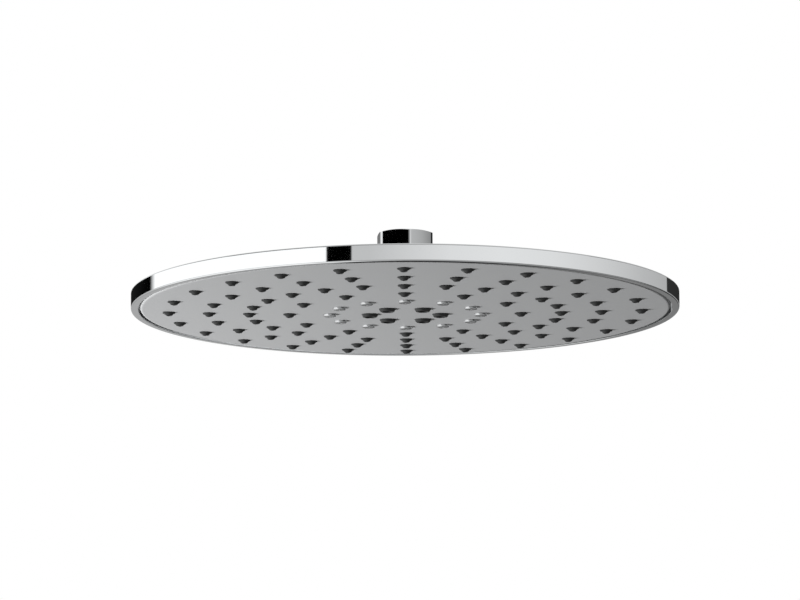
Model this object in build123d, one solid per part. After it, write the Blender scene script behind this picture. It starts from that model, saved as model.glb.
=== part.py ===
from build123d import *
import os
from math import cos, pi, radians, sin, sqrt, tan

# Rain shower head: a shallow chromed disc with a grey nozzle face, hung from a ball-joint inlet.
# Millimetres, +Z up. Heights are measured up from the centre of the face while the pieces are made.
# The finished pieces are set down so that the origin is at the mouth of the inlet.

# Disc and cover
disc_diameter = 250.0
rim_height = 7.7
rim_wall = 3.3
rim_low_ease = 0.6      # lower outer edge, eased in two steps
rim_top_bevel = 0.5
lip_drop = 0.2          # the rim's lip stands this far below the edge of the face
cover_wall = 2.2
crown = 9.5             # rise of the cover from the rim's top edge to the axis
hub_floor = 2.5
hub_wall = 2.5

# Face plate
face_sag = 1.9          # the face's edge stands this far above its centre
face_wall = 2.2
face_gap = 0.65         # open groove between the face and the rim's lip
face_edge_bevel = 1.4
skirt_wall = 2.4

# Nozzle rings, from the middle outwards: six jets, twelve mist jets, then four rings of rain nozzles
jet_ring_r = 16.1
ring_margin = 13.3      # outermost ring to the edge of the face
jet_count = 6
mist_count = 12
rain_counts = (12, 24, 24, 24)

# Nozzles, with ten or twelve sides so that a hundred of them stay light
rain_sides = 10
rain_base_r = 2.9       # at the face
rain_tip_r = 1.5
rain_reach = 1.9
rain_bore_r = 0.65
jet_sides = 12
jet_base_r = 3.8
jet_tip_r = 3.1
jet_reach = 1.3
jet_hollow_r = 1.8
jet_hollow_depth = 2.0
jet_bore_r = 0.9
mist_sides = 12
mist_stem_r = 2.3
mist_head_r = 3.0
mist_crown_r = 1.9
mist_reach = 1.1
mist_bore_r = 0.5
mist_tail = 1.6         # stem left standing behind the face plate
port_sides = 6          # fine water bores, here and in the inlet

# Water chamber
mat_wall = 1.2
mat_land = 7.5          # mat beyond its outer or inner ring of nozzles
chamber_height = 2.8
lid_wall = 1.8
lid_foot = 4.0
seal_width = 2.2
spigot_r = 17.0
spigot_reach = 2.0      # spigot below the lid
socket_nut_r = 22.0
socket_nut_height = 1.9
socket_nut_sides = 8

# Ball joint
inlet_height = 37.6     # face centre to the inlet's mouth
hex_across = 24.0       # wrench size of the six-sided neck
hex_turn = 38.0         # degrees from +X to one of its corners
hex_height = 8.6
hex_edge_round = 0.9
hex_crown_r = 11.8      # flat top inside the turned chamfer
hex_chamfer = 20.0      # degrees
ball_r = 17.0
ball_centre = 20.0
ball_low = 7.0          # the ball is cut flat this far below its centre, and coned this far above it
tilt_limit = 12.0       # degrees either way
seat_angle = 10.0       # degrees below the ball's equator where it touches its seat
seat_skirt = 1.0        # seat ring below the ball's flat
slide_angle = 16.0      # degrees above the equator where the slide ring touches
slide_height = 6.0
ring_step = 0.5         # each ring stops this far from the equator
thread_r = 21.0         # outside of the socket's threaded cup
cup_wall = 2.4
shoulder_r = 27.0
shoulder_height = 4.7   # socket shoulder above the lid
socket_seal_r = 19.5
socket_seal_height = 1.2
collar_r = 24.5
collar_lip = 1.5
collar_bevel = 1.6

# Cover nut and its washer
washer_wall = 0.8
cover_nut_height = 2.6
cover_nut_r = 27.4
nut_notch_width = 5.0
nut_notch_depth = 2.4
nut_notch_count = 4

# Inlet: a half-inch pipe thread, drawn as a plain bore of its major diameter
inlet_bore_r = 10.5
inlet_depth = 11.0
pocket_r = 9.3
throat_r = 6.5
washer_height = 2.8
washer_bore_r = 6.4
screen_wall = 0.8
screen_hole_r = 1.2
screen_hole_pitch = 3.4
screen_hole_count = 6   # round one in the middle
regulator_height = 6.0
regulator_core_r = 3.0
regulator_groove_r = 6.6
regulator_groove_depth = 2.4
regulator_hole_r = 1.5
regulator_hole_count = 6
control_ring_width = 1.6
control_ring_bevel = 0.45

# Clearances
seat_gap = 0.1          # pieces that are pressed together
thread_gap = 0.1        # nut on its thread
ball_gap = 0.15         # ball to its seats
lid_gap = 0.2
recess_gap = 0.8        # cover nut in its recess
collar_gap = 0.3        # collar over the cover nut
opening_gap = 0.6       # neck to the collar at full tilt
nozzle_gap = 0.1
cut_over = 1.0          # how far a cutter runs past the face that it cuts

# Worked out from the sizes above
disc_r = disc_diameter / 2
shank_r = hex_across / 2
hex_corner_r = shank_r / cos(radians(30))
lip_z = face_sag - lip_drop
rim_top = lip_z + rim_height
face_r = disc_r - rim_wall - face_gap
ledge_z = rim_top - cover_wall
skirt_in_r = face_r - skirt_wall
crown_r = disc_r - rim_top_bevel
ring_pitch = (face_r - ring_margin - jet_ring_r) / (1 + len(rain_counts))
mist_ring_r = jet_ring_r + ring_pitch
rain_rings = [(mist_ring_r + ring_pitch * (i + 1), count) for i, count in enumerate(rain_counts)]
mat_depth = face_wall + seat_gap
lid_low = mat_depth + mat_wall + chamber_height
lid_top = lid_low + lid_wall
lid_r = skirt_in_r - lid_gap
shoulder_z = lid_top + shoulder_height
cup_in_r = thread_r - cup_wall
hub_hole_r = thread_r + thread_gap
hub_top = shoulder_z + hub_floor
washer_top = hub_top + washer_wall
nut_top = washer_top + cover_nut_height
recess_r = cover_nut_r + recess_gap
seat_sphere_r = ball_r + ball_gap
seat_low = ball_centre - ball_low - seat_skirt
slide_low = ball_centre + ring_step
slide_top = slide_low + slide_height
collar_top = slide_top + seat_gap + collar_lip
socket_top = ball_centre + ring_step
collar_low = nut_top + collar_gap
regulator_top = inlet_height - inlet_depth - washer_height - screen_wall
groove_floor = regulator_top - regulator_groove_depth
groove_r = (regulator_core_r + regulator_groove_r) / 2


def behind_face(radius, depth):
    """Height of the surface that lies a depth behind the face, at a radius."""
    return depth + face_sag * (radius / face_r) ** 2


def on_crown(radius, depth=0.0):
    """Height of the cover's top at a radius, or of the surface a depth below it."""
    return rim_top - depth + crown * (1 - (radius / crown_r) ** 2)


def on_ball(height):
    """Radius of the ball at a height above its centre."""
    return sqrt(ball_r**2 - height**2)


def beside_ball(angle, height):
    """Radius of the cone that touches the seat's sphere at an angle above the equator."""
    contact_r = seat_sphere_r * cos(radians(angle))
    contact_height = seat_sphere_r * sin(radians(angle))
    return contact_r - (height - contact_height) * tan(radians(angle))


def dish(height_at, low, high):
    """Solid between two heights from a shallow round dish, which is exact as a quadratic patch."""
    reach = disc_r + cut_over
    centre = height_at(0)
    bend = height_at(reach) - centre
    places = (-reach, 0, reach)
    bends = (bend, -bend, bend)
    rows = [[(x, y, centre + low + a + b) for y, b in zip(places, bends)] for x, a in zip(places, bends)]
    return Solid.extrude(Face.make_bezier_surface(rows), Vector(0, 0, high - low))


def turned(*edges):
    """Solid of revolution of a closed section that is given as lines and arcs of radius and height."""
    section = make_face(Curve() + list(edges))
    return revolve(Plane.XZ * section, Axis.Z)


def turned_polygon(*points):
    """Solid of revolution of a section with straight sides."""
    return turned(Polyline(*points, close=True))


def ring(inner_r, outer_r, low, top):
    """Flat ring between two radii and two heights, or a disc where the inner radius is nothing."""
    return turned_polygon((inner_r, low), (outer_r, low), (outer_r, top), (inner_r, top))


def frustum(sides, low_r, low, top_r, top):
    """Many-sided cone between two heights."""
    turns = [2 * pi * i / sides for i in range(sides)]
    lower = [(low_r * cos(turn), low_r * sin(turn), low) for turn in turns]
    upper = [(top_r * cos(turn), top_r * sin(turn), top) for turn in turns]
    outlines = [lower, upper]
    for i in range(sides):
        outlines.append([lower[i - 1], lower[i], upper[i], upper[i - 1]])
    return Solid(Shell([Face(Wire.make_polygon(outline)) for outline in outlines]))


def around(radius, count):
    """Places on a nozzle ring, level with the face there."""
    lift = Pos(0, 0, behind_face(radius, 0))
    return [lift * place for place in PolarLocations(radius, count)]


def spread(shape, ring_r, count):
    """Copies of a nozzle or cutter on one ring of the face."""
    return [place * shape for place in around(ring_r, count)]


def bore(radius, low, top):
    """Cutter for a fine water bore between two heights from the face."""
    return frustum(port_sides, radius, low - cut_over, radius, top + cut_over)


def rain_cone(grow, low, top):
    """The cone of a rain nozzle, grown sideways for its hole, between two heights from the face."""
    slope = (rain_base_r - rain_tip_r) / rain_reach
    return frustum(rain_sides, rain_base_r + grow + slope * low, low, rain_base_r + grow + slope * top, top)


def jet_cone(grow, low, top):
    """The cone of a jet, grown sideways for its hole, between two heights from the face."""
    slope = (jet_base_r - jet_tip_r) / jet_reach
    return frustum(jet_sides, jet_base_r + grow + slope * low, low, jet_base_r + grow + slope * top, top)


def face_plate():
    """Domed grey plate with a bevelled edge, an upright skirt and a hole for every nozzle."""
    bevel_r = face_r - face_edge_bevel
    bevel_z = behind_face(bevel_r, 0)
    plate = sheet(0, face_r, 0, face_wall)
    plate += ring(skirt_in_r, face_r, behind_face(face_r, face_wall / 2), ledge_z)
    plate -= turned_polygon(
        (bevel_r, bevel_z),
        (face_r + cut_over, bevel_z + face_edge_bevel + cut_over),
        (face_r + cut_over, bevel_z - cut_over),
        (bevel_r, bevel_z - cut_over),
    )
    top = face_wall + cut_over
    rain_hole = rain_cone(nozzle_gap, -cut_over, top)
    jet_hole = jet_cone(nozzle_gap, -cut_over, top)
    mist_hole = frustum(mist_sides, mist_stem_r + nozzle_gap, -cut_over, mist_stem_r + nozzle_gap, top)
    holes = spread(jet_hole, jet_ring_r, jet_count) + spread(mist_hole, mist_ring_r, mist_count)
    for ring_r, count in rain_rings:
        holes += spread(rain_hole, ring_r, count)
    return plate - holes


def sheet(inner_r, outer_r, depth, wall):
    """Sheet that follows the back of the face between two radii."""
    curved = dish(lambda r: behind_face(r, 0), depth, depth + wall)
    return curved & ring(inner_r, outer_r, -cut_over, behind_face(outer_r, depth + wall) + cut_over)


def rain_mat():
    """Silicone mat with the four rings of rain nozzles moulded on it."""
    mat = sheet(rain_rings[0][0] - mat_land, rain_rings[-1][0] + mat_land, mat_depth, mat_wall)
    nozzle = rain_cone(0, -rain_reach, mat_depth + mat_wall / 2)
    water_bore = bore(rain_bore_r, -rain_reach, mat_depth + mat_wall)
    nozzles = []
    bores = []
    for ring_r, count in rain_rings:
        nozzles += spread(nozzle, ring_r, count)
        bores += spread(water_bore, ring_r, count)
    return mat + nozzles - bores


def jet_mat():
    """Small silicone mat with the six wide, hollow-ended jets in the middle of the face."""
    mat = sheet(jet_ring_r - mat_land, jet_ring_r + mat_land, mat_depth, mat_wall)
    jet = jet_cone(0, -jet_reach, mat_depth + mat_wall / 2)
    jet -= frustum(jet_sides, jet_hollow_r, -jet_reach, jet_hollow_r, jet_hollow_depth - jet_reach)
    water_bore = bore(jet_bore_r, -jet_reach, mat_depth + mat_wall)
    return mat + spread(jet, jet_ring_r, jet_count) - spread(water_bore, jet_ring_r, jet_count)


def mist_jets():
    """Twelve polished metal jets, each a stem through the face plate under a bevelled head."""
    head = frustum(mist_sides, mist_crown_r, -mist_reach, mist_head_r, -seat_gap)
    stem_top = face_wall + mist_tail
    jet = head + frustum(mist_sides, mist_stem_r, -seat_gap, mist_stem_r, stem_top)
    jet -= bore(mist_bore_r, -mist_reach, stem_top)
    return Compound(children=spread(jet, mist_ring_r, mist_count))


def chamber_lid():
    """Plate that closes the water chamber, with a foot that holds down the mat and the seal."""
    foot_r = lid_r - lid_foot
    foot_depth = mat_depth + mat_wall + seat_gap
    edge_top = ledge_z - lid_gap
    step_r = foot_r - lid_wall
    blank = turned_polygon(
        (spigot_r + thread_gap, lid_low),
        (foot_r, lid_low),
        (foot_r, 0),
        (lid_r, 0),
        (lid_r, edge_top),
        (step_r, edge_top),
        (step_r - (lid_top - edge_top), lid_top),
        (spigot_r + thread_gap, lid_top),
    )
    return blank - dish(lambda r: behind_face(r, 0), -lid_top, foot_depth)


def chamber_seal():
    """Flat ring that seals the lid's foot to the face plate, outside the rain mat."""
    seal_r = lid_r - seat_gap
    return sheet(seal_r - seal_width, seal_r, mat_depth, mat_wall)


def ball_socket():
    """Brass socket: a spigot through the lid, a shoulder under the cover and a threaded cup."""
    bore_r = beside_ball(-seat_angle, seat_low - ball_centre) - seat_gap
    seal_in_r = socket_seal_r - seat_gap
    seal_out_r = socket_seal_r + seal_width + seat_gap
    return turned_polygon(
        (bore_r, lid_low - spigot_reach),
        (spigot_r, lid_low - spigot_reach),
        (spigot_r, lid_top),
        (seal_in_r, lid_top),
        (seal_in_r, lid_top + socket_seal_height),
        (seal_out_r, lid_top + socket_seal_height),
        (seal_out_r, lid_top),
        (shoulder_r, lid_top),
        (shoulder_r, shoulder_z),
        (thread_r, shoulder_z),
        (thread_r, socket_top),
        (cup_in_r, socket_top),
        (cup_in_r, seat_low),
        (bore_r, seat_low),
    )


def socket_seal():
    """Flat seal in the groove under the socket's shoulder."""
    return ring(socket_seal_r, socket_seal_r + seal_width, lid_top, lid_top + socket_seal_height - seat_gap)


def socket_nut():
    """Thin nut inside the chamber that clamps the socket to the lid."""
    blank = extrude(RegularPolygon(socket_nut_r, socket_nut_sides), socket_nut_height)
    nut = blank - Cylinder(spigot_r + thread_gap, 3 * socket_nut_height)
    return Pos(0, 0, lid_low - socket_nut_height) * nut


def seat_ring():
    """Rubber ring under the ball, with a coned face that the ball seals on."""
    low = seat_low - ball_centre
    return turned_polygon(
        (beside_ball(-seat_angle, low), seat_low),
        (cup_in_r - seat_gap, seat_low),
        (cup_in_r - seat_gap, ball_centre - ring_step),
        (beside_ball(-seat_angle, -ring_step), ball_centre - ring_step),
    )


def slide_ring():
    """Low-friction ring over the ball, held down by the collar."""
    return turned_polygon(
        (beside_ball(slide_angle, ring_step), slide_low),
        (cup_in_r - seat_gap, slide_low),
        (cup_in_r - seat_gap, slide_top),
        (beside_ball(slide_angle, slide_top - ball_centre), slide_top),
    )


def collar_nut():
    """Chromed collar that holds the ball in its socket and leaves the neck room to tilt."""
    swing = radians(tilt_limit)
    opening_r = hex_corner_r / cos(swing) + (collar_top - ball_centre) * tan(swing) + opening_gap
    return turned_polygon(
        (thread_r + thread_gap, collar_low),
        (collar_r, collar_low),
        (collar_r, collar_top - collar_bevel),
        (collar_r - collar_bevel, collar_top),
        (opening_r, collar_top),
        (opening_r, slide_top + seat_gap),
        (cup_in_r, slide_top + seat_gap),
        (cup_in_r, socket_top + seat_gap),
        (thread_r + thread_gap, socket_top + seat_gap),
    )


def cover_nut():
    """Flat notched nut that clamps the cover to the socket's shoulder."""
    nut = ring(thread_r + thread_gap, cover_nut_r, washer_top, nut_top)
    notch = Box(2 * nut_notch_depth, nut_notch_width, 3 * cover_nut_height)
    notches = [place * notch for place in PolarLocations(cover_nut_r, nut_notch_count)]
    return nut - [Pos(0, 0, washer_top) * each for each in notches]


def cover_washer():
    """Nylon washer between the nut and the cover's plating."""
    return ring(thread_r + thread_gap, cover_nut_r, hub_top, washer_top)


def top_cover():
    """Chromed cover: a domed top, an upright rim with an eased lower edge and a recessed hub."""
    ease_step = rim_low_ease * (1 - sin(radians(45)))
    hub_r = recess_r + hub_wall
    middle_r = (lid_r + hub_r) / 2
    peak = rim_top + crown
    blank = turned_polygon(
        (0, lip_z),
        (disc_r - rim_low_ease, lip_z),
        (disc_r - ease_step, lip_z + ease_step),
        (disc_r, lip_z + rim_low_ease),
        (disc_r, rim_top - rim_top_bevel),
        (crown_r, rim_top),
        (crown_r - crown, peak),
        (0, peak),
    )
    blank -= dish(on_crown, 0, peak)
    blank -= ring(0, disc_r - rim_wall, lip_z - cut_over, ledge_z)
    blank -= turned_polygon(
        (0, lip_z),
        (lid_r, lip_z),
        (lid_r, on_crown(lid_r, cover_wall)),
        (middle_r, on_crown(middle_r, cover_wall)),
        (hub_r, on_crown(hub_r, cover_wall)),
        (hub_r, shoulder_z),
        (0, shoulder_z),
    )
    blank -= ring(0, hub_hole_r, lip_z, peak + cut_over)
    return blank - ring(0, recess_r, hub_top, peak + cut_over)


def swivel_ball():
    """Brass inlet: a six-sided neck on a ball, bored for the pipe thread and the parts below it."""
    cut_r = on_ball(ball_low)
    cut_z = ball_centre - ball_low
    waist_z = ball_centre + ball_low
    join_z = waist_z + cut_r - shank_r
    step_z = inlet_height - inlet_depth
    hex_middle = inlet_height - hex_height / 2
    pocket_low = step_z - washer_height - screen_wall - regulator_height
    ball = turned(
        Line((throat_r, cut_z), (cut_r, cut_z)),
        ThreePointArc((cut_r, cut_z), (ball_r, ball_centre), (cut_r, waist_z)),
        Polyline(
            (cut_r, waist_z),
            (shank_r, join_z),
            (shank_r, hex_middle),
            (inlet_bore_r, hex_middle),
            (inlet_bore_r, step_z),
            (pocket_r, step_z),
            (pocket_r, pocket_low),
            (throat_r, pocket_low),
            (throat_r, cut_z),
        ),
    )
    return ball + hex_neck()


def hex_neck():
    """Six-sided top of the neck, with rounded edges and a turned chamfer, bored for the thread."""
    low = inlet_height - hex_height
    blank = extrude(RegularPolygon(hex_corner_r, 6, rotation=hex_turn), hex_height)
    blank = fillet(blank.edges().filter_by(Axis.Z), hex_edge_round)
    chamfer_r = hex_corner_r + cut_over
    lathe = turned_polygon(
        (inlet_bore_r, low - cut_over),
        (chamfer_r, low - cut_over),
        (chamfer_r, inlet_height - (chamfer_r - hex_crown_r) * tan(radians(hex_chamfer))),
        (hex_crown_r, inlet_height),
        (inlet_bore_r, inlet_height),
    )
    return Pos(0, 0, low) * blank & lathe


def flow_regulator():
    """Plastic insert that limits the flow: a core in a round groove with ports through its floor."""
    low = regulator_top - regulator_height
    outer_r = pocket_r - seat_gap
    body = turned_polygon(
        (0, low),
        (outer_r, low),
        (outer_r, regulator_top),
        (regulator_groove_r, regulator_top),
        (regulator_groove_r, groove_floor),
        (regulator_core_r, groove_floor),
        (regulator_core_r, regulator_top),
        (0, regulator_top),
    )
    port = frustum(port_sides, regulator_hole_r, low - cut_over, regulator_hole_r, regulator_top)
    return body - [place * port for place in PolarLocations(groove_r, regulator_hole_count)]


def control_ring():
    """Rubber ring in the regulator's groove, which swells over the ports as the pressure rises."""
    inner_r = groove_r - control_ring_width / 2
    outer_r = groove_r + control_ring_width / 2
    top = groove_floor + control_ring_width
    return turned_polygon(
        (inner_r + control_ring_bevel, groove_floor),
        (outer_r - control_ring_bevel, groove_floor),
        (outer_r, groove_floor + control_ring_bevel),
        (outer_r, top - control_ring_bevel),
        (outer_r - control_ring_bevel, top),
        (inner_r + control_ring_bevel, top),
        (inner_r, top - control_ring_bevel),
        (inner_r, groove_floor + control_ring_bevel),
    )


def filter_screen():
    """Perforated steel disc that keeps grit out of the regulator."""
    top = inlet_height - inlet_depth - washer_height
    disc = Pos(0, 0, top - screen_wall / 2) * Cylinder(pocket_r - seat_gap, screen_wall)
    hole = Pos(0, 0, top) * frustum(port_sides, screen_hole_r, -2 * screen_wall, screen_hole_r, screen_wall)
    return disc - [hole] - [place * hole for place in PolarLocations(screen_hole_pitch, screen_hole_count)]


def inlet_washer():
    """Rubber washer that the pipe's end presses on."""
    top = inlet_height - inlet_depth
    return ring(washer_bore_r, pocket_r - seat_gap, top - washer_height, top)


pieces = {
    "swivel_ball": swivel_ball,
    "inlet_washer": inlet_washer,
    "filter_screen": filter_screen,
    "flow_regulator": flow_regulator,
    "control_ring": control_ring,
    "seat_ring": seat_ring,
    "slide_ring": slide_ring,
    "ball_socket": ball_socket,
    "socket_seal": socket_seal,
    "socket_nut": socket_nut,
    "collar_nut": collar_nut,
    "cover_nut": cover_nut,
    "cover_washer": cover_washer,
    "top_cover": top_cover,
    "chamber_lid": chamber_lid,
    "chamber_seal": chamber_seal,
    "rain_mat": rain_mat,
    "jet_mat": jet_mat,
    "mist_jets": mist_jets,
    "face_plate": face_plate,
}

os.makedirs("parts", exist_ok=True)
for name, make in pieces.items():
    export_step(Pos(0, 0, -inlet_height) * make(), f"parts/{name}.step")
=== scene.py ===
"""Looks of a rain shower head: chromed rim, satin nozzle face and ball-joint inlet, in a pale studio."""

import logging
import math
from dataclasses import dataclass, field
from enum import Enum
from typing import Any, Iterable, Optional, Sequence

import bmesh
import bpy
from mathutils import Matrix, Vector


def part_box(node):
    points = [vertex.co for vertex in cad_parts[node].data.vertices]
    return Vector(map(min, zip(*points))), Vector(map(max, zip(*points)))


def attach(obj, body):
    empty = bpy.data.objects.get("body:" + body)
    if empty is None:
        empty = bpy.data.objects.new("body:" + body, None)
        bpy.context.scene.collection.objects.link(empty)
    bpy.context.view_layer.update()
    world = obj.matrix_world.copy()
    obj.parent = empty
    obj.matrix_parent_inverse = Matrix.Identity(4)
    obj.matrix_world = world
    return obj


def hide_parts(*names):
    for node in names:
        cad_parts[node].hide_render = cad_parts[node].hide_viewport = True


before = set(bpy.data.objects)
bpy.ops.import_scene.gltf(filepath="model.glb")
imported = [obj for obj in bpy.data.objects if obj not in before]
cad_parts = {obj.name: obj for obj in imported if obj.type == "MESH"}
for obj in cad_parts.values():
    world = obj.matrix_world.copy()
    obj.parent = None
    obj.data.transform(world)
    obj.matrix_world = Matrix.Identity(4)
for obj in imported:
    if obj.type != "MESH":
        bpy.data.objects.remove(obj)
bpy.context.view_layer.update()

log = logging.getLogger("rain_shower_head")

# Sizes are in millimetres, and meshes are turned to metres when a piece is finished.
MM = 0.001
TURN = 2 * math.pi
MERGE_MM = 1e-4
# Points of a card this near to a cut already lie on it.
CUT_MM = 1e-3
# Facets of a rounding, and the angle past which an edge of a finished piece stays sharp.
EASE_SEGMENTS = 6
SHARP_ANGLE = math.radians(35)
# How far past a rounding its extra corner stands, and the straight length that a side needs for one.
HOLD = 0.1
HOLD_ROOM = 1.0
# Faces larger than this, in square millimetres, are the flats of the six-sided neck.
FLAT_AREA = 20.0
# Part of a pattern's range that holds most of its values.
PATTERN_LOW = 0.3
PATTERN_HIGH = 0.7
# Bump strength at which the depth of a pattern is its real one.
FULL_BUMP = 1.0
WHITE = (1, 1, 1, 1)


# Small tools for meshes


@dataclass(frozen=True)
class Corner:
    """One corner of a turned section: its radius and height, and how far along its sides it is rounded."""

    r: float
    z: float
    ease: float = 0.0


def low_of(node: str) -> float:
    """Lowest height of a solid, in millimetres."""
    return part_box(node)[0].z / MM


def top_of(node: str) -> float:
    """Highest height of a solid, in millimetres."""
    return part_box(node)[1].z / MM


def radius_of(node: str) -> float:
    """Largest radius of a round solid, in millimetres."""
    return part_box(node)[1].x / MM


def clean(bm: bmesh.types.BMesh) -> None:
    """Merges the doubles of a mesh and then points its faces outwards."""
    bmesh.ops.remove_doubles(bm, verts=bm.verts, dist=MERGE_MM)
    bmesh.ops.recalc_face_normals(bm, faces=bm.faces)


def towards(start: Corner, end: Corner, distance: float) -> Corner:
    """Corner on the line between two others, at a distance from the first."""
    share = distance / math.dist((start.r, start.z), (end.r, end.z))
    return Corner(start.r + (end.r - start.r) * share, start.z + (end.z - start.z) * share)


def held(corners: Sequence[Corner]) -> list[Corner]:
    """Adds a corner just past each rounding, so that long flat sides keep their own shading.

    Args:
        corners: The section's corners in order.

    Returns:
        The same corners with the extra ones between them.
    """
    kept: list[Corner] = []
    for i, corner in enumerate(corners):
        before, after = corners[i - 1], corners[(i + 1) % len(corners)]
        room = [
            math.dist((corner.r, corner.z), (other.r, other.z)) > corner.ease + other.ease + HOLD_ROOM
            for other in (before, after)
        ]
        if corner.ease and room[0]:
            kept.append(towards(corner, before, corner.ease + HOLD))
        kept.append(corner)
        if corner.ease and room[1]:
            kept.append(towards(corner, after, corner.ease + HOLD))
    return kept


def turned(
    corners: Sequence[Corner], steps: int, closed: bool = True, segments: int = EASE_SEGMENTS
) -> bmesh.types.BMesh:
    """Turns a section round the Z axis.

    Args:
        corners: The section's corners in order.
        steps: Facets round a full turn.
        closed: False where the section starts and ends on the axis.
        segments: Facets of each rounding.

    Returns:
        A closed mesh in millimetres.
    """
    corners = held(corners)
    bm = bmesh.new()
    verts = [bm.verts.new((corner.r, 0.0, corner.z)) for corner in corners]
    for first, second in zip(verts, verts[1:]):
        bm.edges.new((first, second))
    if closed:
        bm.edges.new((verts[-1], verts[0]))
    for ease in sorted({corner.ease for corner in corners if corner.ease}):
        soft = [vert for vert, corner in zip(verts, corners) if corner.ease == ease]
        bmesh.ops.bevel(
            bm, geom=soft, offset=ease, offset_type="OFFSET", segments=segments,
            profile=0.5, affect="VERTICES", material=-1,
        )
    bmesh.ops.spin(
        bm, geom=bm.verts[:] + bm.edges[:], cent=(0, 0, 0), axis=(0, 0, 1),
        angle=TURN, steps=steps, use_merge=True, use_duplicate=False,
    )
    clean(bm)
    return bm


def add_copies(bm: bmesh.types.BMesh, part: bmesh.types.BMesh, places: Iterable[Matrix]) -> None:
    """Adds a copy of one mesh to another at each place, and frees the copied mesh.

    Args:
        bm: The mesh that grows.
        part: The mesh to copy.
        places: Where the copies go.
    """
    mesh = bpy.data.meshes.new("copy")
    part.to_mesh(mesh)
    part.free()
    for place in places:
        known = len(bm.verts)
        bm.from_mesh(mesh)
        bm.verts.ensure_lookup_table()
        bmesh.ops.transform(bm, matrix=place, verts=bm.verts[known:])
    bpy.data.meshes.remove(mesh)


def plain_object(name: str, bm: bmesh.types.BMesh) -> bpy.types.Object:
    """Makes an object in metres from a mesh in millimetres, and frees that mesh.

    Args:
        name: The object's name.
        bm: The mesh in millimetres.

    Returns:
        The new object in the scene.
    """
    bmesh.ops.scale(bm, vec=(MM, MM, MM), verts=bm.verts)
    mesh = bpy.data.meshes.new(name)
    bm.to_mesh(mesh)
    bm.free()
    obj = bpy.data.objects.new(name, mesh)
    bpy.context.scene.collection.objects.link(obj)
    return obj


class Carving(Enum):
    """How one mesh cuts another."""

    CUT = "DIFFERENCE"
    KEEP = "INTERSECT"


def carve(piece: bpy.types.Object, tool: bpy.types.Object, carving: Carving) -> None:
    """Cuts a piece with a tool, keeps the result as its mesh and deletes the tool.

    Args:
        piece: The object that is cut.
        tool: The closed shape that cuts it.
        carving: Whether the tool's inside goes or stays.
    """
    modifier = piece.modifiers.new("carve", "BOOLEAN")
    modifier.operation = carving.value
    modifier.solver = "EXACT"
    modifier.object = tool
    evaluated = piece.evaluated_get(bpy.context.evaluated_depsgraph_get())
    mesh = bpy.data.meshes.new_from_object(evaluated)
    piece.modifiers.clear()
    piece.data = mesh
    bpy.data.objects.remove(tool)


# Finishes


def linear(colour: str) -> tuple[float, float, float, float]:
    """Turns an sRGB hex colour to linear values with full alpha.

    Args:
        colour: The colour as # and six hex digits.

    Returns:
        Linear red, green and blue, and an alpha of 1.
    """
    channels = [int(colour[i:i + 2], 16) / 255 for i in (1, 3, 5)]
    values = [c / 12.92 if c <= 0.04045 else ((c + 0.055) / 1.055) ** 2.4 for c in channels]
    return (values[0], values[1], values[2], 1.0)


def add_node(
    tree: bpy.types.NodeTree,
    kind: str,
    links: Optional[dict[str, bpy.types.NodeSocket]] = None,
    **settings: Any,
) -> bpy.types.Node:
    """Adds a node with its settings and links.

    Args:
        tree: The node tree to add it to.
        kind: Blender's name for the node.
        links: Input socket to the output that feeds it.
        settings: Properties of the node, or values of its input sockets with _ for a space.

    Returns:
        The new node.
    """
    node = tree.nodes.new(kind)
    for key, value in settings.items():
        if hasattr(node, key):
            setattr(node, key, value)
        else:
            node.inputs[key.replace("_", " ")].default_value = value
    for socket, output in (links or {}).items():
        tree.links.new(output, node.inputs[socket])
    return node


class Surface(Enum):
    """How a surface was made, which sets the pattern it shows."""

    POLISHED = "polished"
    MOULDED = "moulded"
    TURNED = "turned"


# Layers of finer noise in the pattern of each surface, and how far a turned line wanders.
FINE_LAYERS = {Surface.POLISHED: 1.0, Surface.MOULDED: 3.0, Surface.TURNED: 1.0}
LINE_WANDER = 0.4


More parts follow.
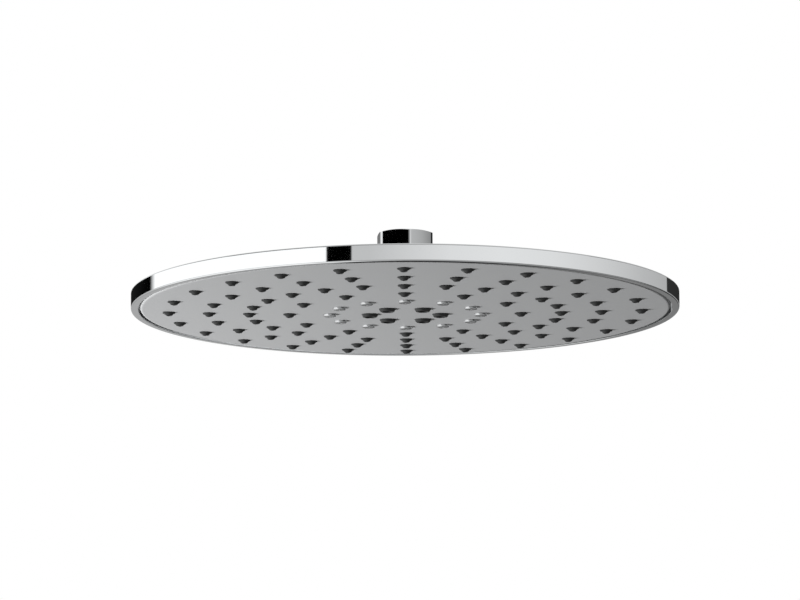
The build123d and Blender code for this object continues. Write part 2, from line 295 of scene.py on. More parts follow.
@dataclass(frozen=True)
class Finish:
    """A material of the shower head and how its surface was made."""

    name: str
    colour: str
    roughness: float
    surface: Surface
    grain_mm: float
    depth_mm: float
    metallic: float = 0.0
    ior: float = 1.5
    specular: float = 0.5
    haze: float = 0.0

    def material(self) -> bpy.types.Material:
        """Makes the material, or finds the one made before.

        Returns:
            The material.
        """
        known = bpy.data.materials.get(self.name)
        if known:
            return known
        material = bpy.data.materials.new(self.name)
        material.use_nodes = True
        tree = material.node_tree
        shader = tree.nodes["Principled BSDF"]
        shader.inputs["Base Color"].default_value = linear(self.colour)
        shader.inputs["Metallic"].default_value = self.metallic
        if not self.metallic:
            shader.inputs["IOR"].default_value = self.ior
            shader.inputs["Specular IOR Level"].default_value = self.specular
        pattern = self.pattern(tree)
        rough = add_node(
            tree, "ShaderNodeMapRange", {"Value": pattern}, From_Min=PATTERN_LOW, From_Max=PATTERN_HIGH,
            To_Min=self.roughness - self.haze, To_Max=self.roughness + self.haze,
        )
        tree.links.new(rough.outputs["Result"], shader.inputs["Roughness"])
        bump = add_node(
            tree, "ShaderNodeBump", {"Height": pattern}, Strength=FULL_BUMP, Distance=self.depth_mm * MM
        )
        tree.links.new(bump.outputs["Normal"], shader.inputs["Normal"])
        return material

    def pattern(self, tree: bpy.types.NodeTree) -> bpy.types.NodeSocket:
        """Adds the surface's fine pattern.

        Args:
            tree: The material's node tree.

        Returns:
            The output that carries the pattern.
        """
        place = add_node(tree, "ShaderNodeTexCoord").outputs["Object"]
        scale = 1 / (self.grain_mm * MM)
        layers = FINE_LAYERS[self.surface]
        if self.surface is Surface.TURNED:
            lines = add_node(
                tree, "ShaderNodeTexWave", {"Vector": place}, wave_type="RINGS", rings_direction="Z",
                Scale=scale / TURN, Distortion=LINE_WANDER, Detail=layers,
            )
            return lines.outputs["Fac"]
        noise = add_node(tree, "ShaderNodeTexNoise", {"Vector": place}, Scale=scale, Detail=layers)
        return noise.outputs["Fac"]


# Bright chrome on nickel over moulded ABS: a clear mirror with a very slight waviness from the moulding.
CHROMED_ABS = Finish(
    "chromed_abs", "#F2F4F5", roughness=0.035, surface=Surface.POLISHED, grain_mm=22.0,
    depth_mm=0.004, metallic=1.0, haze=0.01,
)
# Bright chrome on turned brass: the same mirror, truer because metal was polished below it.
CHROMED_BRASS = Finish(
    "chromed_brass", "#F0F2F3", roughness=0.03, surface=Surface.POLISHED, grain_mm=9.0,
    depth_mm=0.001, metallic=1.0, haze=0.01,
)
# Satin chrome on turned brass: a soft mirror that blurs the room to a light side and a dark side.
SATIN_CHROME = Finish(
    "satin_chromed_brass", "#E6E8E9", roughness=0.24, surface=Surface.POLISHED, grain_mm=1.5,
    depth_mm=0.001, metallic=1.0, haze=0.02,
)
# Grey ABS from a spark-eroded mould: a satin skin whose grit spreads the light evenly. The grit of this
# and the other moulded finishes is drawn coarser than it is, so that it shows.
SATIN_ABS = Finish(
    "satin_grey_abs", "#A0A1A2", roughness=0.46, surface=Surface.MOULDED, grain_mm=0.35,
    depth_mm=0.006, ior=1.53, specular=0.3, haze=0.05,
)
# Liquid silicone, dark grey: dull and a little waxy, with a soft sheen on its rounded tips.
NOZZLE_SILICONE = Finish(
    "dark_silicone", "#2C2D2D", roughness=0.42, surface=Surface.MOULDED, grain_mm=0.25,
    depth_mm=0.004, ior=1.41, haze=0.06,
)
# Black nitrile rubber seals: dull, with the grit of a compression mould.
SEAL_RUBBER = Finish(
    "nitrile_rubber", "#161616", roughness=0.62, surface=Surface.MOULDED, grain_mm=0.3,
    depth_mm=0.01, ior=1.52, haze=0.06,
)
# White acetal and ABS inside: smooth, slightly glossy moulded plastic.
WHITE_ACETAL = Finish(
    "white_acetal", "#E4E3DE", roughness=0.36, surface=Surface.MOULDED, grain_mm=0.6,
    depth_mm=0.004, ior=1.48, haze=0.04,
)
# Turned brass of the socket: warm metal with fine rings from the tool.
TURNED_BRASS = Finish(
    "turned_brass", "#D9B56A", roughness=0.24, surface=Surface.TURNED, grain_mm=0.35,
    depth_mm=0.006, metallic=1.0, haze=0.06,
)
# Stainless screen: rolled sheet, greyer than chrome and slightly brushed.
SCREEN_STEEL = Finish(
    "stainless_screen", "#C4C5C6", roughness=0.26, surface=Surface.MOULDED, grain_mm=0.4,
    depth_mm=0.003, metallic=1.0, haze=0.06,
)


def dress(piece: bpy.types.Object, finish: Finish) -> None:
    """Gives a piece its finish on every face."""
    piece.data.materials.clear()
    piece.data.materials.append(finish.material())


def finished(
    piece: bpy.types.Object, finish: Finish, body: str, nodes: Iterable[str] = ()
) -> bpy.types.Object:
    """Smooths and dresses a piece, and sets it on its body.

    Args:
        piece: The object, already in place.
        finish: Its finish.
        body: The body that carries it.
        nodes: Solids that it stands for.

    Returns:
        The same object.
    """
    piece.data.polygons.foreach_set("use_smooth", [True] * len(piece.data.polygons))
    piece.data.set_sharp_from_angle(angle=SHARP_ANGLE)
    dress(piece, finish)
    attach(piece, body)
    if nodes:
        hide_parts(*nodes)
    log.info("%s: %d faces on %s", piece.name, len(piece.data.polygons), body)
    return piece


# The pieces


@dataclass
class CoverShell:
    """Chromed cover: upright rim with a round lower edge, low dome and recessed hub."""

    rim_height: float = 7.7
    rim_wall: float = 3.3
    rim_low_round: float = 0.6
    rim_top_round: float = 0.5
    lip_round: float = 0.25
    wall: float = 2.2
    crown: float = 9.5
    hub_hole_r: float = 21.1
    hub_floor: float = 2.5
    hub_wall: float = 2.5
    hub_depth: float = 3.1
    hub_round: float = 0.4
    recess_r: float = 28.2
    recess_round: float = 0.8
    lid_r: float = 118.45
    steps: int = 256
    rings: int = 14

    def dome(self, radius: float, depth: float = 0.0) -> float:
        """Works out the dome's height.

        Args:
            radius: Distance from the axis.
            depth: How far the surface lies below the dome.

        Returns:
            The height at that radius.
        """
        edge_r = radius_of("top_cover") - self.rim_top_round
        rim_top = low_of("top_cover") + self.rim_height
        return rim_top - depth + self.crown * (1 - (radius / edge_r) ** 2)

    def along_dome(self, start: float, end: float, depth: float) -> list[Corner]:
        """Corners along the dome between two radii."""
        radii = [start + (end - start) * i / self.rings for i in range(self.rings + 1)]
        return [Corner(radius, self.dome(radius, depth)) for radius in radii]

    def build(self) -> bpy.types.Object:
        """Turns the cover and dresses it in chrome.

        Returns:
            The finished cover.
        """
        rim_r = radius_of("top_cover")
        low = low_of("top_cover")
        rim_top = low + self.rim_height
        ledge = rim_top - self.wall
        lip_r = rim_r - self.rim_wall
        hub_top = self.dome(self.recess_r) - self.hub_depth
        hub_r = self.recess_r + self.hub_wall
        shoulder = hub_top - self.hub_floor
        inside = self.along_dome(self.lid_r, hub_r, self.wall)
        outside = self.along_dome(self.recess_r, rim_r - self.rim_top_round, 0.0)
        outside[0] = Corner(outside[0].r, outside[0].z, self.recess_round)
        section = [
            Corner(lip_r, low, self.lip_round),
            Corner(lip_r, ledge),
            Corner(self.lid_r, ledge),
            *inside,
            Corner(hub_r, shoulder),
            Corner(self.hub_hole_r, shoulder),
            Corner(self.hub_hole_r, hub_top),
            Corner(self.recess_r, hub_top, self.hub_round),
            *outside[:-1],
            Corner(rim_r, self.dome(rim_r - self.rim_top_round), self.rim_top_round),
            Corner(rim_r, low, self.rim_low_round),
        ]
        piece = plain_object("cover_shell", turned(section, self.steps))
        return finished(piece, CHROMED_ABS, "head", ["top_cover"])


@dataclass
class NozzleFace:
    """Grey face plate with its silicone nozzles, hollow jets and chromed mist jets."""

    sag: float = 1.9
    plate_wall: float = 2.2
    plate_edge: float = 1.4
    skirt_wall: float = 2.4
    jet_ring_r: float = 16.1
    ring_margin: float = 13.3
    jet_count: int = 6
    mist_count: int = 12
    rain_counts: tuple[int, ...] = (12, 24, 24, 24)
    rain_base_r: float = 2.9
    rain_foot_round: float = 0.1
    rain_waist_r: float = 2.1
    rain_waist_round: float = 0.25
    rain_brim: float = 0.7
    rain_tip_r: float = 1.35
    rain_tip_round: float = 0.3
    rain_reach: float = 1.55
    rain_bore_r: float = 0.65
    rain_mouth: float = 0.3
    rain_mouth_round: float = 0.1
    rain_segments: int = 3
    jet_base_r: float = 3.8
    jet_foot: float = 0.05
    jet_foot_round: float = 0.15
    jet_tip_r: float = 3.1
    jet_tip_round: float = 0.3
    jet_reach: float = 1.3
    jet_hollow_r: float = 1.8
    jet_hollow_depth: float = 2.0
    jet_hollow_round: float = 0.2
    jet_mouth: float = 0.25
    jet_bore_r: float = 0.9
    jet_segments: int = 4
    mist_head_r: float = 3.0
    mist_tip_r: float = 2.8
    mist_round: float = 0.45
    mist_stem_r: float = 2.3
    mist_reach: float = 1.1
    mist_tail: float = 1.6
    mist_bore_r: float = 0.5
    mist_mouth_round: float = 0.12
    mat_wall: float = 1.2
    mat_land: float = 7.5
    gap: float = 0.1
    steps: int = 192
    rings: int = 20
    nozzle_steps: int = 24
    wide_steps: int = 48
    hole_steps: int = 28
    hole_walls: int = 6

    def __post_init__(self) -> None:
        """Works out the face's place and the radii of its rings."""
        self.face_r = radius_of("face_plate")
        self.low = low_of("face_plate")
        spaces = 1 + len(self.rain_counts)
        pitch = (self.face_r - self.ring_margin - self.jet_ring_r) / spaces
        self.mist_ring_r = self.jet_ring_r + pitch
        self.rain_rings = [(self.mist_ring_r + pitch * (i + 1), n) for i, n in enumerate(self.rain_counts)]
        self.mat_depth = self.plate_wall + self.gap

    def height(self, radius: float, depth: float = 0.0) -> float:
        """Height of the face at a radius, or of the surface a depth behind it."""
        return self.low + depth + self.sag * (radius / self.face_r) ** 2

    def along_face(self, start: float, end: float, depth: float) -> list[Corner]:
        """Corners along the face between two radii."""
        radii = [start + (end - start) * i / self.rings for i in range(self.rings + 1)]
        return [Corner(radius, self.height(radius, depth)) for radius in radii]

    def places(self, ring_r: float, count: int) -> list[Matrix]:
        """Places on one ring of the face, each turned outwards."""
        lift = Matrix.Translation((ring_r, 0, self.height(ring_r)))
        return [Matrix.Rotation(TURN * i / count, 4, "Z") @ lift for i in range(count)]

    def rain_places(self) -> list[Matrix]:
        """Places of all the rain nozzles."""
        return [place for ring_r, count in self.rain_rings for place in self.places(ring_r, count)]

    def jet_places(self) -> list[Matrix]:
        """Places of the six wide jets."""
        return self.places(self.jet_ring_r, self.jet_count)

    def mist_places(self) -> list[Matrix]:
        """Places of the mist jets."""
        return self.places(self.mist_ring_r, self.mist_count)

    def sheet(self, inner_r: float, outer_r: float) -> bmesh.types.BMesh:
        """Makes the silicone sheet that lies behind the plate.

        Args:
            inner_r: Radius of the sheet's opening.
            outer_r: Radius of its outer edge.

        Returns:
            A closed mesh in millimetres.
        """
        under = self.along_face(inner_r, outer_r, self.mat_depth)
        over = self.along_face(outer_r, inner_r, self.mat_depth + self.mat_wall)
        return turned([*under, *over], self.steps)

    def plate(self) -> bpy.types.Object:
        """Turns the plate, cuts its holes and dresses it in satin grey.

        Returns:
            The finished plate.
        """
        inner_r = self.face_r - self.skirt_wall
        top = top_of("face_plate")
        front = self.along_face(0, self.face_r, 0)
        front[-1] = Corner(front[-1].r, front[-1].z, self.plate_edge)
        back = self.along_face(inner_r, 0, self.plate_wall)
        section = [*front, Corner(self.face_r, top), Corner(inner_r, top), *back]
        piece = plain_object("face_disc", turned(section, self.steps, closed=False))
        holes = bmesh.new()
        self.add_holes(holes, self.rain_places(), self.rain_base_r)
        self.add_holes(holes, self.jet_places(), self.jet_base_r)
        self.add_holes(holes, self.mist_places(), self.mist_stem_r)
        carve(piece, plain_object("holes", holes), Carving.CUT)
        return finished(piece, SATIN_ABS, "head", ["face_plate"])

    def add_holes(self, holes: bmesh.types.BMesh, places: Iterable[Matrix], radius: float) -> None:
        """Adds the cutters of one kind of nozzle's holes.

        Args:
            holes: The mesh of all cutters.
            places: Where the nozzles stand.
            radius: The nozzle's radius in its hole.
        """
        for place in places:
            bmesh.ops.create_cone(
                holes, cap_ends=True, segments=self.hole_steps, radius1=radius + self.gap,
                radius2=radius + self.gap, depth=self.hole_walls * self.plate_wall, matrix=place,
            )

    def rain_nozzle(self) -> bmesh.types.BMesh:
        """Makes one rain nozzle: a flared foot, a soft tip and a fine bore.

        Returns:
            A closed mesh in millimetres, with the face at its origin.
        """
        tip = -self.rain_reach
        section = [
            Corner(self.rain_bore_r, self.mat_depth),
            Corner(self.rain_bore_r, tip + self.rain_mouth),
            Corner(self.rain_bore_r + self.rain_mouth, tip, self.rain_mouth_round),
            Corner(self.rain_tip_r, tip, self.rain_tip_round),
            Corner(self.rain_waist_r, -self.rain_brim, self.rain_waist_round),
            Corner(self.rain_base_r, -self.rain_brim / 2, self.rain_foot_round),
            Corner(self.rain_base_r, self.mat_depth),
        ]
        return turned(section, self.nozzle_steps, segments=self.rain_segments)

    def jet(self) -> bmesh.types.BMesh:
        """Makes one wide jet with a hollow end and a bore.

        Returns:
            A closed mesh in millimetres, with the face at its origin.
        """
        tip = -self.jet_reach
        floor = tip + self.jet_hollow_depth
        section = [
            Corner(self.jet_bore_r, self.mat_depth),
            Corner(self.jet_bore_r, floor, self.jet_hollow_round),
            Corner(self.jet_hollow_r, floor, self.jet_hollow_round),
            Corner(self.jet_hollow_r + self.jet_mouth, tip, self.jet_mouth),
            Corner(self.jet_tip_r, tip, self.jet_tip_round),
            Corner(self.jet_base_r, -self.jet_foot, self.jet_foot_round),
            Corner(self.jet_base_r, self.mat_depth),
        ]
        return turned(section, self.wide_steps, segments=self.jet_segments)

    def mist_jet(self) -> bmesh.types.BMesh:
        """Makes one mist jet: a stem under a button head with a soft edge and a fine bore.

        Returns:
            A closed mesh in millimetres, with the face at its origin.
        """
        tail = self.plate_wall + self.mist_tail
        section = [
            Corner(self.mist_bore_r, tail),
            Corner(self.mist_bore_r, -self.mist_reach, self.mist_mouth_round),
            Corner(self.mist_tip_r, -self.mist_reach, self.mist_round),
            Corner(self.mist_head_r, -self.gap),
            Corner(self.mist_stem_r, -self.gap),
            Corner(self.mist_stem_r, tail),
        ]
        return turned(section, self.wide_steps)

    def mats(self) -> None:
        """Makes the two silicone mats with their nozzles."""
        rings = self.rain_rings
        rain = self.sheet(rings[0][0] - self.mat_land, rings[-1][0] + self.mat_land)
        add_copies(rain, self.rain_nozzle(), self.rain_places())
        middle = self.sheet(self.jet_ring_r - self.mat_land, self.jet_ring_r + self.mat_land)
        add_copies(middle, self.jet(), self.jet_places())
        for name, bm, node in (("rain_nozzles", rain, "rain_mat"), ("middle_jets", middle, "jet_mat")):
            finished(plain_object(name, bm), NOZZLE_SILICONE, "head", [node])

    def mists(self) -> None:
        """Makes the ring of chromed mist jets."""
        bm = bmesh.new()
        add_copies(bm, self.mist_jet(), self.mist_places())
        finished(plain_object("mist_heads", bm), SATIN_CHROME, "head", ["mist_jets"])

    def build(self) -> None:
        """Makes the plate and everything that stands in it."""
        self.plate()
        self.mats()
        self.mists()


@dataclass
class InletSwivel:
    """Chromed brass inlet: ball, six-sided neck and pipe thread."""

    hex_sides: int = 6
    hex_across: float = 24.0
    hex_turn: float = 38.0
    hex_height: float = 8.6
    hex_edge_round: float = 2.2
    hex_crown_r: float = 11.8
    hex_crown_round: float = 0.15
    hex_chamfer: float = 20.0
    ball_drop: float = 17.6
    ball_flat: float = 7.0
    ball_arcs: int = 16
    join_round: float = 0.5
    bore_r: float = 10.5
    bore_depth: float = 11.0
    pocket_r: float = 9.3
    pocket_depth: float = 20.6
    throat_r: float = 6.5
    throat_round: float = 0.3
    thread_minor_r: float = 9.35
    thread_pitch: float = 1.814
    thread_land: float = 0.35
    thread_start: float = 0.4
    thread_turns: int = 5
    thread_steps: int = 64
    spare: float = 1.0
    steps: int = 128

    def ball(self) -> bmesh.types.BMesh:
        """Makes the ball and its shank, up to the foot of the hexagon.

        Returns:
            A closed mesh in millimetres.
        """
        ball_r = radius_of("swivel_ball")
        reach = math.asin(self.ball_flat / ball_r)
        turns = [-reach + 2 * reach * i / self.ball_arcs for i in range(self.ball_arcs + 1)]
        arc = [Corner(ball_r * math.cos(t), -self.ball_drop + ball_r * math.sin(t)) for t in turns]
        shank_r = self.hex_across / 2
        join = arc[-1].z + arc[-1].r - shank_r
        hex_low = -self.hex_height
        section = [
            Corner(self.throat_r, arc[0].z, self.throat_round),
            *arc,
            Corner(shank_r, join, self.join_round),
            Corner(shank_r, hex_low),
            Corner(self.bore_r, hex_low),
            Corner(self.bore_r, -self.bore_depth),
            Corner(self.pocket_r, -self.bore_depth),
            Corner(self.pocket_r, -self.pocket_depth),
            Corner(self.throat_r, -self.pocket_depth),
        ]
        return turned(section, self.steps)

    def hexagon(self) -> bpy.types.Object:
        """Makes the six-sided neck with rounded edges, chamfered and bored on the lathe.

        Returns:
            The neck in metres, not yet dressed.
        """
        half_side = math.pi / self.hex_sides
        corner_r = self.hex_across / 2 / math.cos(half_side)
        bm = bmesh.new()
        turn = Matrix.Rotation(math.radians(self.hex_turn) - TURN / 4, 4, "Z")
        place = Matrix.Translation((0, 0, -self.hex_height)) @ turn
        bmesh.ops.create_circle(bm, cap_ends=True, segments=self.hex_sides, radius=corner_r, matrix=place)
        grown = bmesh.ops.extrude_face_region(bm, geom=bm.faces[:])["geom"]
        raised = [item for item in grown if isinstance(item, bmesh.types.BMVert)]
        bmesh.ops.translate(bm, verts=raised, vec=(0, 0, self.hex_height + self.spare))
        upright = [edge for edge in bm.edges if abs(edge.verts[0].co.z - edge.verts[1].co.z) > self.spare]
        bmesh.ops.bevel(
            bm, geom=upright, offset=self.hex_edge_round * math.tan(half_side), offset_type="OFFSET",
            segments=EASE_SEGMENTS, profile=0.5, affect="EDGES", material=-1,
        )
        clean(bm)
        piece = plain_object("hexagon", bm)
        far_r = corner_r + self.spare
        fall = (far_r - self.hex_crown_r) * math.tan(math.radians(self.hex_chamfer))
        section = [
            Corner(self.bore_r, -self.hex_height - self.spare),
            Corner(far_r, -self.hex_height - self.spare),
            Corner(far_r, -fall),
            Corner(self.hex_crown_r, 0, self.hex_crown_round),
            Corner(self.bore_r, 0),
        ]
        carve(piece, plain_object("lathe", turned(section, self.steps)), Carving.KEEP)
        return piece

    def thread(self) -> bmesh.types.BMesh:
        """Makes the screw thread inside the bore, as one ridge from the washer up to the mouth.

        Returns:
            A closed mesh in millimetres.
        """
        flank = (self.thread_pitch - 2 * self.thread_land) / 2
        foot = -self.bore_depth + self.thread_start
        heights = (0, flank, flank + self.thread_land, 2 * flank + self.thread_land)
        radii = (self.bore_r, self.thread_minor_r, self.thread_minor_r, self.bore_r)
        bm = bmesh.new()
        verts = [bm.verts.new((r, 0, foot + z)) for r, z in zip(radii, heights)]
        section = bm.faces.new(verts)
        bmesh.ops.spin(
            bm, geom=[section, *section.edges, *section.verts], cent=(0, 0, 0), axis=(0, 0, 1),
            dvec=(0, 0, self.thread_pitch / self.thread_steps), angle=TURN * self.thread_turns,
            steps=self.thread_steps * self.thread_turns, use_merge=False, use_duplicate=False,
        )
        clean(bm)
        return bm

    def build(self) -> None:
        """Makes the ball, its neck and its thread as one chromed piece."""
        neck = self.hexagon()
        bm = bmesh.new()
        bm.from_mesh(neck.data)
        bpy.data.objects.remove(neck)
        bmesh.ops.scale(bm, vec=(1 / MM, 1 / MM, 1 / MM), verts=bm.verts)
        for part in (self.ball(), self.thread()):
            add_copies(bm, part, [Matrix.Identity(4)])
        piece = plain_object("ball_and_neck", bm)
        finished(piece, CHROMED_BRASS, "inlet", ["swivel_ball"])
        for side in piece.data.polygons:
            if side.area > FLAT_AREA * MM * MM:
                side.use_smooth = False


@dataclass
class CollarStack:
    """Chromed collar over the ball and the notched nut that clamps the cover."""

    opening_r: float = 16.49
    opening_round: float = 0.35
    cup_r: float = 18.6
    thread_r: float = 21.1
    lip: float = 1.5
    lip_round: float = 0.2
    socket_top: float = -17.0
    collar_round: float = 1.6
    collar_low_round: float = 0.3
    nut_round: float = 0.35
    notch_width: float = 5.0
    notch_depth: float = 2.4
    notch_count: int = 4
    steps: int = 160

    def collar(self) -> bpy.types.Object:
        """Turns the collar and dresses it in chrome.

        Returns:
            The finished collar.
        """
        low = low_of("collar_nut")
        top = top_of("collar_nut")
        outer_r = radius_of("collar_nut")
        section = [
            Corner(self.thread_r, low),
            Corner(outer_r, low, self.collar_low_round),
            Corner(outer_r, top, self.collar_round),
            Corner(self.opening_r, top, self.opening_round),
            Corner(self.opening_r, top - self.lip, self.lip_round),
            Corner(self.cup_r, top - self.lip),
            Corner(self.cup_r, self.socket_top),
            Corner(self.thread_r, self.socket_top),
        ]
        piece = plain_object("collar", turned(section, self.steps))
        return finished(piece, CHROMED_BRASS, "head", ["collar_nut"])

    def nut(self) -> bpy.types.Object:
        """Turns the cover nut, cuts its wrench notches and dresses it in chrome.

        Returns:
            The finished nut.
        """
        low = low_of("cover_nut")
        top = top_of("cover_nut")
        outer_r = radius_of("cover_washer")
        section = [
            Corner(self.thread_r, low),
            Corner(outer_r, low, self.nut_round),
            Corner(outer_r, top, self.nut_round),
            Corner(self.thread_r, top, self.nut_round),
        ]
        piece = plain_object("clamp_nut", turned(section, self.steps))
        notches = bmesh.new()
        # Each cutter is centred on the nut's lower edge, so it is twice as deep and passes the top.
        size = Matrix.Diagonal((2 * self.notch_depth, self.notch_width, 4 * (top - low), 1))
        edge = Matrix.Translation((outer_r, 0, low))
        for i in range(self.notch_count):
            turn = Matrix.Rotation(TURN * i / self.notch_count, 4, "Z")
            bmesh.ops.create_cube(notches, size=1, matrix=turn @ edge @ size)
        carve(piece, plain_object("notches", notches), Carving.CUT)
        return finished(piece, CHROMED_BRASS, "head", ["cover_nut"])

    def build(self) -> None:
        """Makes both nuts."""
        self.collar()
        self.nut()


@dataclass
class InnerParts:
    """Solids that stay as they are and only get their finish."""

    finishes: dict[str, Finish] = field(
        default_factory=lambda: {
            "inlet_washer": SEAL_RUBBER,
            "control_ring": SEAL_RUBBER,
            "seat_ring": SEAL_RUBBER,
            "socket_seal": SEAL_RUBBER,
            "chamber_seal": SEAL_RUBBER,
            "filter_screen": SCREEN_STEEL,
            "flow_regulator": WHITE_ACETAL,
            "slide_ring": WHITE_ACETAL,
            "cover_washer": WHITE_ACETAL,
            "chamber_lid": WHITE_ACETAL,
            "ball_socket": TURNED_BRASS,
            "socket_nut": TURNED_BRASS,
        }
    )

    def build(self) -> None:
        """Dresses each inner solid."""
        for node, finish in self.finishes.items():
            dress(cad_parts[node], finish)
            log.info("%s: %s", node, finish.name)


# The studio


@dataclass(frozen=True)
class Viewpoint:
    """Camera of the picture: its place, aim and focal length."""

    eye_mm: tuple[float, float, float] = (12.29, -2356.29, -450.01)
    yaw: float = -0.356
    pitch: float = 10.086
    roll: float = -0.243
    focal_px: float = 5244.7
    width_px: int = 800
    sensor_mm: float = 36.0
    reach_m: float = 100.0

    def build(self) -> None:
        """Makes the camera and gives it to the scene."""
        yaw, pitch, roll = (math.radians(a) for a in (self.yaw, self.pitch, self.roll))
        ahead = Vector((math.sin(yaw) * math.cos(pitch), math.cos(yaw) * math.cos(pitch), math.sin(pitch)))
        level = Vector((math.cos(yaw), -math.sin(yaw), 0))
        over = level.cross(ahead)
        right = level * math.cos(roll) + over * math.sin(roll)
        up = over * math.cos(roll) - level * math.sin(roll)
        lens = bpy.data.cameras.new("camera")
        lens.sensor_width = self.sensor_mm
        lens.lens = self.focal_px / self.width_px * self.sensor_mm
        lens.clip_end = self.reach_m
        camera = bpy.data.objects.new("camera", lens)
        place = Matrix((right, up, -ahead)).transposed().to_4x4()
        place.translation = Vector(self.eye_mm) * MM
        camera.matrix_world = place
        bpy.context.scene.collection.objects.link(camera)
        bpy.context.scene.camera = camera


def reflect_only(card: bpy.types.Object) -> None:
    """Hides a card from everything but reflections.

    Args:
        card: The card's object.
    """
    card.visible_camera = False
    card.visible_diffuse = False
    card.visible_shadow = False
    card.visible_transmission = False


@dataclass(frozen=True)
class RingCard:
    """Glowing studio card all round the object that only shows in reflections: its tones are painted
    reflections.

    Its section is two pairs of a radius and a height. Its tones are pairs of a bearing and a brightness.
    A bearing is in degrees from the camera's side towards +X, from -90 to 270, and between two of them
    the brightness changes evenly.
    """

    name: str
    section: tuple[tuple[float, float], tuple[float, float]]
    tones: tuple[tuple[float, float], ...]
    steps: int = 180

    def level(self, bearing: float) -> float:
        """Finds the brightness at a bearing.

        Args:
            bearing: Degrees from the camera's side towards +X, from -180 to 180.

        Returns:
            The brightness there.
        """
        if bearing < self.tones[0][0]:
            bearing += 360
        for (start, first), (end, last) in zip(self.tones, self.tones[1:]):
            if start <= bearing <= end:
                return first + (last - first) * (bearing - start) / (end - start)
        return self.tones[-1][1]

    def build(self) -> None:
        """Bends the card round the object, cuts it at each bearing and gives its points their tones."""
        bm = bmesh.new()
        tone = bm.verts.layers.float.new("tone")
        bm.edges.new([bm.verts.new((r, 0, z)) for r, z in self.section])
        bmesh.ops.spin(
            bm, geom=bm.verts[:] + bm.edges[:], cent=(0, 0, 0), axis=(0, 0, 1),
            angle=TURN, steps=self.steps, use_merge=True, use_duplicate=False,
        )
        for bearing, _ in self.tones:
            turn = math.radians(bearing)
            bmesh.ops.bisect_plane(
                bm, geom=bm.verts[:] + bm.edges[:] + bm.faces[:], dist=CUT_MM,
                plane_co=(0, 0, 0), plane_no=(math.cos(turn), math.sin(turn), 0),
            )
        clean(bm)
        for vert in bm.verts:
            vert[tone] = self.level(math.degrees(math.atan2(vert.co.x, -vert.co.y)))
        card = plain_object(self.name, bm)
        card.data.materials.append(self.material())
        reflect_only(card)

    def material(self) -> bpy.types.Material:
        """Makes a glow that follows the tones of the card's points, which paints the reflections.

        Returns:
            The material.
        """
        material = bpy.data.materials.new(self.name)
        material.use_nodes = True
        tree = material.node_tree
        tree.nodes.clear()
        tone = add_node(tree, "ShaderNodeAttribute", attribute_name="tone")
        glow = add_node(tree, "ShaderNodeEmission", {"Strength": tone.outputs["Fac"]}, Color=WHITE)
        add_node(tree, "ShaderNodeOutputMaterial", {"Surface": glow.outputs["Emission"]})
        return material


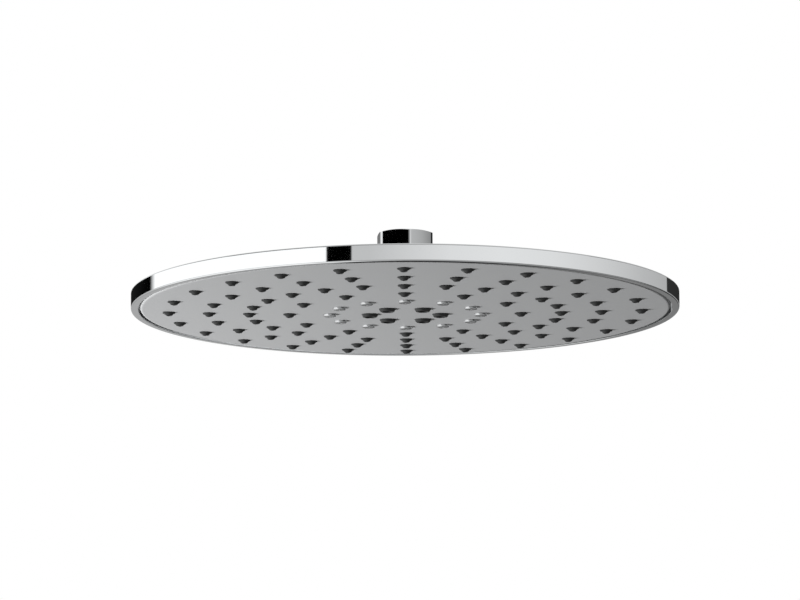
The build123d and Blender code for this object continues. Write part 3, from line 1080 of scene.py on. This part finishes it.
@dataclass
class Studio:
    """Pale floor, white surroundings, soft lamp and cards that paint reflections."""

    floor_z: float = -4200.0
    floor_r: float = 16000.0
    floor_steps: int = 96
    floor_colour: str = "#F4F4F2"
    floor_roughness: float = 0.9
    floor_glow: float = 0.75
    ambient: float = 0.22
    lamp_place: tuple[float, float, float] = (-1150.0, 240.0, -600.0)
    lamp_size: float = 340.0
    lamp_watts: float = 34.5
    card_r: float = 600.0
    card_hole_r: float = 1.0
    card_low: float = -900.0
    deep_z: float = -260.0
    lip_z: float = -158.0
    side_z: float = -88.0
    rim_low: float = 45.0
    split_z: float = 82.0
    neck_top: float = 125.0
    card_top: float = 420.0

    def cards(self) -> list[RingCard]:
        """Lists the cards whose tones paint the reflections that the chromed rim, the six-sided neck, the
        mist heads, the nozzles and the nozzle face mirror.

        Returns:
            The cards, from the rim's to the one overhead.
        """
        # Each table is a painted reflection: bright and dark bearings set so that the rim shows a black
        # band with a light stripe beside it, the neck dark and light flats with a dark right edge, the
        # mist heads a white highlight on their left, the nozzles a lighter left and a dark right side, and
        # the face's gloss a lighter left.
        rim = (
            (-90, 1.13), (-29.05, 1.13), (-28.55, 0.0), (-19.5, 0.0), (-19.1, 0.57), (-13.0, 0.57),
            (17.0, 0.78), (36.5, 0.82), (57.6, 0.78), (82.0, 0.66), (108.0, 0.52),
            (131.0, 0.45), (131.6, 0.03), (180, 0.02), (237.5, 0.0), (242.5, 1.13), (270, 1.13),
        )
        neck = (
            (-90, 0.9), (-72.0, 0.9), (-70.0, 0.0), (2.0, 0.0), (28.0, 0.3), (46.0, 0.72),
            (73.7, 0.62), (75.2, 0.43), (76.6, 0.02), (188.0, 0.03), (193.9, 0.22), (194.14, 0.22),
            (194.28, 0.02), (194.6, 0.02), (200.0, 0.5), (215.0, 0.85), (270, 0.9),
        )
        upper = ((-90, 0.25), (0, 0.4), (80, 0.35), (180, 0.75), (225, 0.75), (270, 0.25))
        side = (
            (-90, 0.62), (-38.0, 0.62), (-30.0, 0.5), (15.0, 0.55), (45.0, 0.62), (82.0, 0.62),
            (108.0, 0.52), (131.0, 0.42), (155.0, 0.3), (190.0, 0.42), (235.0, 0.5), (270, 0.62),
        )
        low = (
            (-90, 1.0), (-38.0, 1.0), (-30.0, 0.36), (15.0, 0.34), (45.0, 0.03), (155.0, 0.03),
            (161.0, 0.18), (167.0, 0.2), (174.0, 0.36), (190.0, 0.42), (210.0, 0.36), (235.0, 0.5),
            (255.0, 1.0), (270, 1.0),
        )
        lip = (
            (-90, 1.0), (-38.0, 1.0), (-30.0, 0.36), (15.0, 0.34), (45.0, 0.03), (155.0, 0.03),
            (161.0, 0.22), (168.0, 0.2), (172.0, 0.12), (176.0, 0.03), (183.0, 0.03), (184.4, 0.34),
            (210.0, 0.36), (235.0, 0.5), (255.0, 1.0), (270, 1.0),
        )
        under = (
            (-90, 1.0), (-34.0, 1.0), (-20.0, 0.36), (120.0, 0.32), (150.0, 0.05), (165.0, 0.02),
            (183.0, 0.02), (215.0, 0.36), (255.0, 1.0), (270, 1.0),
        )
        lid = ((-90, 0.32), (0, 0.55), (90, 0.55), (180, 0.75), (230, 0.7), (270, 0.32))
        near, far = self.card_hole_r, self.card_r
        deep, top = self.card_low, self.card_top
        return [
            RingCard("rim_card", ((far, self.rim_low), (far, self.split_z)), rim),
            RingCard("neck_card", ((far, self.split_z), (far, self.neck_top)), neck),
            RingCard("upper_card", ((far, self.neck_top), (far, top)), upper),
            RingCard("side_card", ((far, self.side_z), (far, self.rim_low)), side),
            RingCard("low_card", ((far, self.lip_z), (far, self.side_z)), low),
            RingCard("lip_card", ((far, self.deep_z), (far, self.lip_z)), lip),
            RingCard("deep_card", ((far, deep), (far, self.deep_z)), under),
            RingCard("under_card", ((near, deep), (far, deep)), under),
            RingCard("lid_card", ((near, top), (far, top)), lid),
        ]

    def floor(self) -> None:
        """Lays a wide pale floor far below the head, which fades to the white surroundings."""
        bm = bmesh.new()
        bmesh.ops.create_circle(
            bm, cap_ends=True, segments=self.floor_steps, radius=self.floor_r,
            matrix=Matrix.Translation((0, 0, self.floor_z)),
        )
        floor = plain_object("floor", bm)
        material = bpy.data.materials.new("pale_floor")
        material.use_nodes = True
        tree = material.node_tree
        shader = tree.nodes["Principled BSDF"]
        shader.inputs["Base Color"].default_value = linear(self.floor_colour)
        shader.inputs["Roughness"].default_value = self.floor_roughness
        place = add_node(tree, "ShaderNodeTexCoord").outputs["Object"]
        size = 1 / (self.floor_r * MM)
        small = add_node(tree, "ShaderNodeMapping", {"Vector": place}, Scale=(size, size, size))
        fade = add_node(
            tree, "ShaderNodeTexGradient", {"Vector": small.outputs["Vector"]}, gradient_type="SPHERICAL"
        )
        share = add_node(
            tree, "ShaderNodeMapRange", {"Value": fade.outputs["Fac"]}, To_Min=1.0, To_Max=self.floor_glow
        )
        path = add_node(tree, "ShaderNodeLightPath")
        seen = add_node(tree, "ShaderNodeMath", operation="MULTIPLY")
        tree.links.new(path.outputs["Is Camera Ray"], seen.inputs[0])
        tree.links.new(share.outputs["Result"], seen.inputs[1])
        glow = add_node(tree, "ShaderNodeEmission", Color=WHITE, Strength=1.0)
        mix = add_node(tree, "ShaderNodeMixShader", {"Fac": seen.outputs["Value"]})
        tree.links.new(shader.outputs["BSDF"], mix.inputs[1])
        tree.links.new(glow.outputs["Emission"], mix.inputs[2])
        tree.links.new(mix.outputs["Shader"], tree.nodes["Material Output"].inputs["Surface"])
        floor.data.materials.append(material)

    def world(self) -> None:
        """Makes surroundings white to the eye and in reflections, with plainer light on matt surfaces."""
        world = bpy.data.worlds.new("studio")
        world.use_nodes = True
        tree = world.node_tree
        tree.nodes.clear()
        path = add_node(tree, "ShaderNodeLightPath")
        seen = path.outputs["Is Camera Ray"]
        for kind in ("Is Glossy Ray", "Is Transmission Ray"):
            either = add_node(tree, "ShaderNodeMath", operation="MAXIMUM")
            tree.links.new(seen, either.inputs[0])
            tree.links.new(path.outputs[kind], either.inputs[1])
            seen = either.outputs["Value"]
        light = add_node(tree, "ShaderNodeBackground", Color=WHITE, Strength=self.ambient)
        white = add_node(tree, "ShaderNodeBackground", Color=WHITE, Strength=1.0)
        mix = add_node(tree, "ShaderNodeMixShader", {"Fac": seen})
        tree.links.new(light.outputs["Background"], mix.inputs[1])
        tree.links.new(white.outputs["Background"], mix.inputs[2])
        add_node(tree, "ShaderNodeOutputWorld", {"Surface": mix.outputs["Shader"]})
        bpy.context.scene.world = world

    def lamp(self) -> None:
        """Hangs a soft lamp below and to the left, which shades the nozzles and fades across the face."""
        light = bpy.data.lights.new("soft_lamp", "AREA")
        light.shape = "DISK"
        light.size = self.lamp_size * MM
        light.energy = self.lamp_watts
        lamp = bpy.data.objects.new("soft_lamp", light)
        place = Vector(self.lamp_place) * MM
        aim = Vector((0, 0, low_of("face_plate") * MM)) - place
        lamp.matrix_world = Matrix.Translation(place) @ aim.to_track_quat("-Z", "Y").to_matrix().to_4x4()
        lamp.visible_glossy = False
        bpy.context.scene.collection.objects.link(lamp)

    def build(self) -> None:
        """Sets up the floor, the light and the cards."""
        self.floor()
        self.world()
        self.lamp()
        for card in self.cards():
            card.build()
        bpy.context.scene.view_settings.view_transform = "Standard"


def main() -> None:
    """Builds the shower head and its studio."""
    logging.basicConfig(level=logging.INFO, format="%(name)s: %(message)s")
    parts = (
        CoverShell(), NozzleFace(), InletSwivel(), CollarStack(), InnerParts(), Viewpoint(), Studio(),
    )
    for part in parts:
        part.build()
        log.info("%s done", type(part).__name__)


if __name__ == "__main__":
    main()
